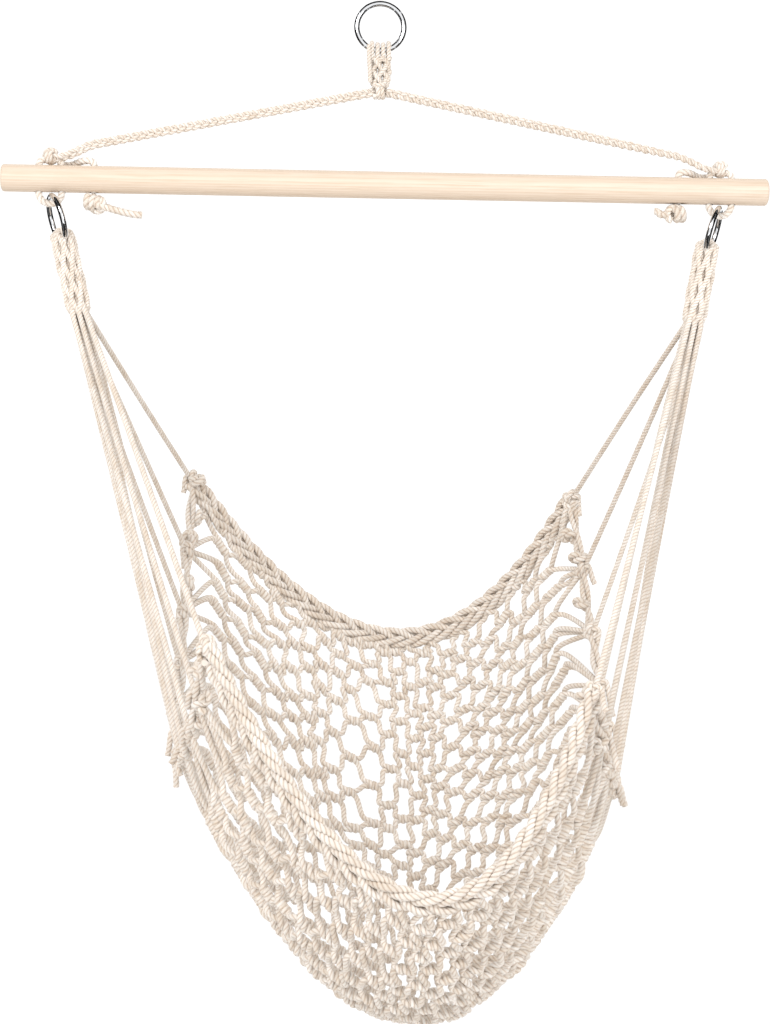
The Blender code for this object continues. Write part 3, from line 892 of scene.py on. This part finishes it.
def weave_clew_head(side, sign):
    down = clew_axis(side, sign)
    top = clew_wire(side, sign) - down * 0.0130
    length = CLEW_HEAD_LENGTH + CLEW_START + 0.0115
    routes = round_sinnet(
        top, down, length, 0.0106, 0.0102, BACKWARDS, 7, 0.0009, 0.260, taper=0.10, crown=0.07
    )
    for deep in (-0.0050, 0.0, 0.0050):
        inside = top + BACKWARDS.cross(down) * deep + down * 0.006
        routes += core(inside, down, length - 0.012, CORE_PLACES, BACKWARDS)
    head = lay_rope(
        f"clew_weave_{side}", "seat", routes, 0.0056, lay=1.9, rings=0.24, groove=0.14, seed=70 + sign
    )
    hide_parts(f"clew_head_{side}")


weave_hook_head()
for side, sign in SIDES.items():
    weave_clew_head(side, sign)
print("heads woven")

# %% [markdown]
# ## The net
#
# The net is made of forty-two ropes that run from side to side. Each rope twists once round its upper
# neighbour, then drops and twists once round its lower one, and so on across the seat, which makes six-
# sided meshes. The rows lie a little closer together at the back than in front, and each joint is moved and
# turned a little, as hand tying does. Near the sides the ropes twist twice and the meshes are pulled long,
# since all ropes there run up to the clew knots. A Wireframe modifier on a sheet would give one thickness
# everywhere and no twists, so the joints are set out first, and each rope is then led from joint to joint.

# %% Set out the joints of the net
NET_ROPES = 42
NET_COLUMNS = 23
NET_ROPE = 0.0065
JOINT_HALF = 0.0070
JOINT_RADIUS = 0.0026
BACK_MARGIN = 0.008
FRONT_MARGIN = 0.006
# Where the net was tied loosely (tightly, below 0): place across, place along, strength and reach
LOOSE_SPOTS = ((0.42, 0.13, 0.50, 0.09), (0.80, 0.18, -0.20, 0.16), (0.55, 0.72, 0.35, 0.09))
hands = random.Random(19)


def row_places(count, widening=0.5):
    """Places of the rows from the back to the front, with a spacing that widens towards the front."""
    steps = [net_point(0.5, number / 200) for number in range(201)]
    travelled = [0.0]
    for number, (first, second) in enumerate(zip(steps, steps[1:])):
        travelled.append(travelled[-1] + (second - first).length / (1 + widening * number / 200))
    rows = []
    for row in range(count):
        wanted = BACK_MARGIN + (travelled[-1] - BACK_MARGIN - FRONT_MARGIN) * row / (count - 1)
        place = max(number for number, length in enumerate(travelled) if length <= wanted)
        rows.append((place + (wanted - travelled[place]) / (travelled[place + 1] - travelled[place])) / 200)
    return rows


ROWS = row_places(NET_ROPES + 1)
print("rows at", [round(place, 3) for place in ROWS[::7]])


def loosened(across, along):
    """Moves a place away from the loose spots and towards the tight ones."""
    moved_across, moved_along = across, along
    for spot_across, spot_along, strength, reach in LOOSE_SPOTS:
        aside, onwards = across - spot_across, along - spot_along
        pull = strength * math.exp(-(aside**2 + onwards**2) / reach**2)
        moved_across += aside * pull
        moved_along += onwards * pull
    return moved_across, moved_along


def make_joint(row, column):
    """A joint is longer near the sides, where the net is pulled sideways and the ropes twist twice."""
    share = 2 * (column + 0.5) / NET_COLUMNS - 1
    across = 0.5 + 0.45 * share * (1 + 0.16 * share**2) / 1.16
    slack = 1.0 if 0 < row < NET_ROPES else 0.0
    middle = math.sin(math.pi * across)
    along = ROWS[row]
    if slack:
        across, along = loosened(across, along)
    across += hands.uniform(-1, 1) * 0.0080
    along = min(0.99, max(0.01, along + slack * hands.uniform(-1, 1) * 0.0050 * middle))
    sideways, onwards, out = net_axes(across, along)
    lean = slack * hands.uniform(-0.30, 0.30)
    pull = (2 * across - 1) ** 2
    return {
        "centre": net_point(across, along) + out * hands.uniform(-1, 1) * 0.0015,
        "ahead": sideways * math.cos(lean) + onwards * math.sin(lean),
        "drop": onwards * math.cos(lean) - sideways * math.sin(lean),
        "out": out,
        "half": JOINT_HALF * hands.uniform(0.90, 1.20) * (1.0 + 0.85 * pull),
        "turns": 2.0 if pull > 0.35 else 1.0,
    }


JOINTS = {
    (row, column): make_joint(row, column)
    for row in range(NET_ROPES + 1)
    for column in range(NET_COLUMNS)
    if row in (0, NET_ROPES) or (row + column) % 2 == 0
}

# %% Route the ropes of the net
def joint_route(joint, way):
    """One rope of a joint: way is -1 for the rope that comes from above and 1 for the one from below."""
    points = []
    for step in range(13):
        share = step / 12
        eased = share * share * (3 - 2 * share)
        angle = 2 * math.pi * joint["turns"] * (0.35 * share + 0.65 * eased)
        points.append(
            joint["centre"] + joint["ahead"] * joint["half"] * (2 * share - 1)
            + (joint["drop"] * math.cos(angle) + joint["out"] * math.sin(angle)) * way * JOINT_RADIUS
        )
    return points


def knot_of(side, rope):
    knots = clew_knots[side]
    return knots[round(rope / (NET_ROPES - 1) * (len(knots) - 1))]


def link(points, route):
    """Leads a rope from its last point to the start of the next stretch, in one smooth bend at each end."""
    gap = (route[0] - points[-1]).length
    handle = min(0.42 * gap, 0.0110)
    leave = unit(points[-1] - points[-2]) if len(points) > 1 else unit(route[0] - points[-1])
    arrive = unit(route[1] - route[0])
    bend = bezier(points[-1], points[-1] + leave * handle, route[0] - arrive * handle, route[0], 9)
    return bend + route[1:]


def net_route(rope):
    """From the left clew knot by joints of its two rows in turn to the right clew knot."""
    points = [knot_of("left", rope)]
    for column in range(NET_COLUMNS):
        takes_next_row = (rope + column) % 2 == 1
        joint = JOINTS.get((rope + 1 if takes_next_row else rope, column))
        if joint is not None:
            points += link(points, joint_route(joint, -1 if takes_next_row else 1))
    end = knot_of("right", rope)
    ahead = unit(end - points[-1])
    return points + link(points, [end - ahead * 0.004, end])


NET_BANDS = {
    "net_back": (0, 12), "net_upper_seat": (12, 22), "net_seat": (22, 32), "net_front": (32, NET_ROPES)
}
for node, (first, last) in NET_BANDS.items():
    routes = [net_route(rope) for rope in range(first, last)]
    name = node.replace("net_", "mesh_")
    band = lay_rope(name, "seat", routes, NET_ROPE, lay=2.2, groove=0.15, seed=300 + first)
    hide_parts(node)
    metres = round(sum(route_length(route) for route in routes), 2)
    print(band.name, metres, "m of rope,", rope_triangles[band.name], "triangles")

# %% [markdown]
# ## Edge plaits
#
# The back and the front of the net are finished with a thick flat plait of five ropes. It takes the row of
# joints next to it and runs up to the corner knots, so the whole edge hangs in one even curve. Down each
# side, two ropes twist round each other from clew knot to clew knot, and near the corners larger knots tie
# them to the plaits.

# %% Plait the edges
SIDE_TURNS = 9.5
# Knots down each side of the net: place along, distance outwards and unit size
CORNER_KNOTS = (
    (0.0, -0.004, 0.0031), (0.035, -0.016, 0.0029), (0.075, -0.002, 0.0032), (0.130, -0.010, 0.0027),
    (0.860, -0.006, 0.0027), (0.925, -0.014, 0.0031), (0.960, 0.002, 0.0029), (1.0, -0.006, 0.0032),
)


def plait_edge(name, along, node, inset):
    line = [net_point(0.004 + 0.992 * step / 80, along) for step in range(81)]
    first, last = clew_knots["left"][inset], clew_knots["right"][inset]
    line = [first.lerp(line[0], 0.5)] + line + [last.lerp(line[-1], 0.5)]

    def side_at(share):
        return net_axes(min(0.99, max(0.01, share)), min(0.99, max(0.01, along)))[1]

    routes = flat_plait(line, 5, 0.0092, 0.0042, 0.110, side_at, steps=36)
    plait = lay_rope(name, "seat", routes, 0.0078, lay=2.0, rings=0.25, groove=0.15, seed=400 + inset)
    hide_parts(node)
    print(name, round(route_length(line), 3), "m long,", rope_triangles[name], "triangles")


def side_cord(side, sign):
    """Two ropes that twist round each other down the side of the net, from clew knot to clew knot."""
    across = 0.0 if sign < 0 else 1.0
    routes = []
    for phase in (0.0, math.pi):
        route = []
        for step in range(221):
            along = step / 220
            sideways, onwards, out = net_axes(across, along)
            angle = 2 * math.pi * SIDE_TURNS * along + phase
            inward = net_point(across, along) - sideways * sign * 0.004
            route.append(inward + (sideways * math.cos(angle) + out * math.sin(angle)) * 0.0034)
        routes.append(route)
    lay_rope(f"side_cord_{side}", "seat", routes, 0.0066, lay=2.6, rings=0.30, groove=0.22, seed=430 + sign)


def corner_knots(side, sign):
    """Larger knots where the plaits, the side cord and several clew ropes are tied together."""
    across = 0.0 if sign < 0 else 1.0
    routes = []
    for along, aside, size in CORNER_KNOTS:
        sideways, onwards, out = net_axes(across, along)
        middle = net_point(across, along) + sideways * sign * aside + out * hands.uniform(-1, 1) * 0.004
        ahead = sideways * hands.uniform(-1, 1) + onwards + out * hands.uniform(-1, 1)
        tail = hands.uniform(0.0, 1.0) * 0.016
        sag = Vector((hands.uniform(-0.4, 0.4), hands.uniform(-0.4, 0.4), -1.0)) * tail
        face = out + sideways * hands.uniform(-1, 1)
        routes.append(overhand(middle, ahead, face, size, tail=tail, droop=sag))
    lay_rope(
        f"corner_knots_{side}", "seat", routes, 0.0074, lay=2.1, rings=0.25, groove=0.16, seed=440 + sign
    )


for side, sign in SIDES.items():
    side_cord(side, sign)
    corner_knots(side, sign)
plait_edge("back_plait", 0.0, "net_back_edge", 0)
plait_edge("front_plait", 1.0, "net_front_edge", CLEW_ROPES - 1)

# %% [markdown]
# ## Spreader bar
#
# The bar is a turned rod of pale hardwood with softly rounded ends and six drilled holes. It is spun from a
# short profile, and the holes are cut with a Boolean. The wood is a volume: growth rings round an axis
# beside the bar, drawn out along X, give long streaks on the side and curved rings on the ends from the
# same pattern.

# %% Wood material
EARLY_WOOD = (0.675, 0.555, 0.445)
PALE_WOOD = (0.715, 0.605, 0.500)
LATE_WOOD = (0.640, 0.512, 0.400)


def wood_material():
    material, tree, shader = new_material("pale_wood")
    place = new_node(tree, "ShaderNodeTexCoord").outputs["Object"]
    wander = mapped_noise(tree, place, (0.9, 30.0, 30.0), 4.0)
    pith = new_node(tree, "ShaderNodeMapping")
    feed(tree, pith, Vector=place, Location=(0.0, 0.050, 0.150), Scale=(0.05, 1.0, 1.0))
    shifted = new_node(tree, "ShaderNodeVectorMath", operation="MULTIPLY_ADD")
    for socket, value in zip(shifted.inputs, (wander.outputs["Color"], (0.0, 0.006, 0.006), pith.outputs[0])):
        fill_socket(tree, socket, value)
    growth = new_node(tree, "ShaderNodeTexWave", wave_type="RINGS", rings_direction="X", wave_profile="SAW")
    feed(tree, growth, Vector=shifted.outputs[0], Scale=110.0, Distortion=1.2, Detail=2.0)
    pores = mapped_noise(tree, place, (22.0, 900.0, 900.0), 3.0).outputs[0]
    wood = ramp(tree, ((0.0, EARLY_WOOD), (0.55, PALE_WOOD), (1.0, LATE_WOOD)), growth.outputs["Fac"])
    wood = multiplied(tree, wood, ((0.30, (0.93, 0.90, 0.86)), (0.65, WHITE)), wander.outputs[0])
    wood = multiplied(tree, wood, ((0.34, (0.90, 0.86, 0.81)), (0.50, WHITE)), pores, 0.8)
    bumped(tree, shader, pores, 0.12, 0.0003)
    for name, value in {"Base Color": wood, "Roughness": 0.48, "Specular IOR Level": 0.4}.items():
        fill_socket(tree, shader.inputs[name], value)
    return material


WOOD = wood_material()
print("material", WOOD.name)

# %% Turn and drill the bar
BAR_ROUNDING = 0.003
HOLE_RADIUS = 0.0045
DRILL_LENGTH = 0.05


def plain_object(name, mesh):
    obj = bpy.data.objects.new(name, mesh)
    bpy.context.collection.objects.link(obj)
    return obj


def mesh_from(shape, name):
    mesh = bpy.data.meshes.new(name)
    shape.to_mesh(mesh)
    shape.free()
    return mesh


def turned_rod(name, profile, segments, axis_point):
    """A closed shape of revolution round an X axis, from (x, radius) pairs that start and end on the axis."""
    shape = bmesh.new()
    turns = [2 * math.pi * number / segments for number in range(segments)]
    rings = []
    for x, radius in profile:
        if radius == 0.0:
            places = [Vector((x, 0.0, 0.0))]
        else:
            places = [Vector((x, radius * math.cos(turn), radius * math.sin(turn))) for turn in turns]
        rings.append([shape.verts.new(axis_point + place) for place in places])
    for first, second in zip(rings, rings[1:]):
        for n in range(segments):
            corners = [first[n % len(first)], first[(n + 1) % len(first)]]
            corners += [second[(n + 1) % len(second)], second[n % len(second)]]
            shape.faces.new(list(dict.fromkeys(corners)))
    bmesh.ops.recalc_face_normals(shape, faces=shape.faces)
    return mesh_from(shape, name)


def rod_profile(length, radius, rounding):
    """Half of the rod's outline: a flat end, a rounded edge, the side, and the same again."""
    half = length / 2
    end = [(-half, 0.0), (-half, radius * 0.5)]
    for step in range(9):
        angle = math.pi / 2 * step / 8
        end.append((-half + rounding * (1 - math.cos(angle)), radius - rounding + rounding * math.sin(angle)))
    shares = (0.05, 0.10, 0.15, 0.30, 0.50, 0.70, 0.85, 0.90, 0.95)
    side = [(-half + length * share, radius) for share in shares]
    return end + side + [(-x, distance) for x, distance in reversed(end)]


def turn_bar():
    bar = plain_object("bar", turned_rod("bar", rod_profile(BAR_LENGTH, BAR_RADIUS, BAR_ROUNDING), 96, BAR))
    drills = []
    for side, sign in SIDES.items():
        for place in (LOOP_SPAN / 2, -LOOP_SPAN / 2, -TAIL_RUN):
            centre = Vector((KNOT[side].x + sign * place, BAR.y, BAR.z))
            drill = bmesh.new()
            bmesh.ops.create_cone(
                drill, cap_ends=True, segments=40, radius1=HOLE_RADIUS, radius2=HOLE_RADIUS,
                depth=DRILL_LENGTH, matrix=Matrix.Translation(centre),
            )
            cutter = plain_object("drill", mesh_from(drill, "drill"))
            drills.append(cutter)
            cut = bar.modifiers.new("hole", "BOOLEAN")
            cut.object = cutter
            cut.solver = "EXACT"
    graph = bpy.context.evaluated_depsgraph_get()
    drilled = bpy.data.meshes.new_from_object(bar.evaluated_get(graph))
    bar.modifiers.clear()
    bar.data = drilled
    for cutter in drills:
        bpy.data.objects.remove(cutter)
    drilled.materials.clear()
    drilled.materials.append(WOOD)
    drilled.shade_smooth()
    drilled.set_sharp_from_angle(angle=math.radians(40))
    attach(bar, "yoke")
    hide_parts("spreader_bar")
    print("bar:", len(drilled.polygons), "faces")


turn_bar()

# %% [markdown]
# ## Steel rings
#
# The rings are bright-plated wire, bent round and welded shut. A torus of many segments keeps their
# highlights smooth. Polished metal shows only its surroundings, so the look comes from the studio: pale all
# round, with four dark cards, at the sides, above and below, that draw the black lines along the wire.

# %% Bend the rings
def steel_material():
    material, tree, shader = new_material("chromed_steel")
    place = new_node(tree, "ShaderNodeTexCoord").outputs["Object"]
    noise = feed(tree, new_node(tree, "ShaderNodeTexNoise"), Vector=place, Scale=180.0, Detail=3.0)
    smears = noise.outputs[0]
    spread = feed(tree, new_node(tree, "ShaderNodeMapRange"), Value=smears, To_Min=0.03, To_Max=0.08)
    tint = ramp(tree, ((0.3, (0.74, 0.75, 0.77)), (0.7, (0.83, 0.84, 0.85))), smears)
    for name, value in {"Roughness": spread.outputs[0], "Base Color": tint, "Metallic": 1.0}.items():
        fill_socket(tree, shader.inputs[name], value)
    return material


STEEL = steel_material()


def bend_ring(name, node, body, centre, axis):
    """A torus round an axis, with a low weld swelling on one side."""
    shape = bmesh.new()
    first = unit(axis.cross(Vector((0.3, 0.9, 0.2))))
    second = unit(axis.cross(first))
    around, section = 160, 28
    rings = []
    for n in range(around):
        turn = 2 * math.pi * n / around
        out = first * math.cos(turn) + second * math.sin(turn)
        wire = RING_WIRE / 2 * (1.0 + 0.05 * math.exp(-((turn - math.pi) / 0.05) ** 2))
        middle = centre + out * RING_RADIUS
        angles = [2 * math.pi * m / section for m in range(section)]
        places = [middle + (out * math.cos(angle) + axis * math.sin(angle)) * wire for angle in angles]
        rings.append([shape.verts.new(place) for place in places])
    for n in range(around):
        this, other = rings[n], rings[(n + 1) % around]
        for m in range(section):
            beside = (m + 1) % section
            shape.faces.new((this[m], other[m], other[beside], this[beside]))
    bmesh.ops.recalc_face_normals(shape, faces=shape.faces)
    mesh = mesh_from(shape, name)
    mesh.materials.append(STEEL)
    mesh.shade_smooth()
    ring = plain_object(name, mesh)
    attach(ring, body)
    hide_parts(node)


bend_ring("hook_ring", "hanging_ring", "ring", RING, BACKWARDS)
for side, sign in SIDES.items():
    level_axis = Vector((math.cos(SIDE_RING_TURN), -sign * math.sin(SIDE_RING_TURN), 0.0))
    axis = Matrix.Rotation(sign * SIDE_RING_LEAN, 3, "Y") @ level_axis
    bend_ring(f"small_ring_{side}", f"side_ring_{side}", f"{side}_ring", SIDE_RING[side], axis)
print("rings bent")

# %% [markdown]
# ## Studio
#
# The room is white all round, so light comes softly from everywhere, and two soft boxes in front give the
# ropes their form: a strong one high on the left and a weak one on the right. The cards show only in
# reflections. The pale floor is a plain disc well below the seat.

# %% Floor, light and reflection cards
FLOOR_HEIGHT = -1.50
CARD_SIDE, CARD_TOP, CARD_BOTTOM = 1.5, 1.5, -1.4
CARD_WIDTH, CARD_DEPTH = 1.4, 1.9
ROOM_STRENGTH = 1.12


def flat_material(name, colour):
    material, tree, shader = new_material(name)
    shader.inputs["Base Color"].default_value = (*colour, 1.0)
    shader.inputs["Roughness"].default_value = 0.9
    return material


def disc(name, radius, height, material):
    shape = bmesh.new()
    place = Matrix.Translation((0.0, 0.0, height))
    bmesh.ops.create_circle(shape, cap_ends=True, segments=96, radius=radius, matrix=place)
    mesh = mesh_from(shape, name)
    mesh.materials.append(material)
    return plain_object(name, mesh)


floor = disc("floor", 14.0, FLOOR_HEIGHT, flat_material("floor_white", (0.93, 0.93, 0.93)))


def dark_card(name, corners):
    mesh = bpy.data.meshes.new(name)
    mesh.from_pydata(corners, [], [(0, 1, 2, 3)])
    mesh.materials.append(flat_material(name, (0.004, 0.004, 0.004)))
    card = plain_object(name, mesh)
    for ray in ("camera", "diffuse", "shadow", "transmission"):
        setattr(card, f"visible_{ray}", False)


for side, sign in SIDES.items():
    outline = ((-1, CARD_BOTTOM), (1, CARD_BOTTOM), (1, CARD_TOP), (-1, CARD_TOP))
    dark_card(f"card_{side}", [(sign * CARD_SIDE, CARD_DEPTH * y, z) for y, z in outline])
for level_name, z in (("top", CARD_TOP), ("bottom", CARD_BOTTOM)):
    outline = ((-1, -1), (1, -1), (1, 1), (-1, 1))
    dark_card(f"card_{level_name}", [(CARD_WIDTH * x, CARD_DEPTH * y, z) for x, y in outline])


def soft_box(name, place, target, size, power):
    data = bpy.data.lights.new(name, "AREA")
    data.shape = "DISK"
    data.size = size
    data.energy = power
    lamp = bpy.data.objects.new(name, data)
    bpy.context.collection.objects.link(lamp)
    towards = Vector(target) - Vector(place)
    lamp.matrix_world = Matrix.Translation(place) @ towards.to_track_quat("-Z", "Y").to_matrix().to_4x4()


soft_box("key_light", (-1.4, -2.6, 0.9), (0.0, 0.0, -0.6), 1.3, 42.0)
soft_box("fill_light", (1.8, -2.2, 0.1), (0.0, 0.0, -0.6), 1.5, 16.0)

world = bpy.data.worlds.new("white_room")
world.use_nodes = True
background = world.node_tree.nodes["Background"].inputs
background["Color"].default_value = (1.0, 1.0, 1.0, 1.0)
background["Strength"].default_value = ROOM_STRENGTH
bpy.context.scene.world = world
bpy.context.scene.view_settings.view_transform = "Standard"
print("studio lit by two soft boxes")

# %% Count the triangles of rope
print(sum(rope_triangles.values()), "triangles of rope in", len(rope_triangles), "pieces")
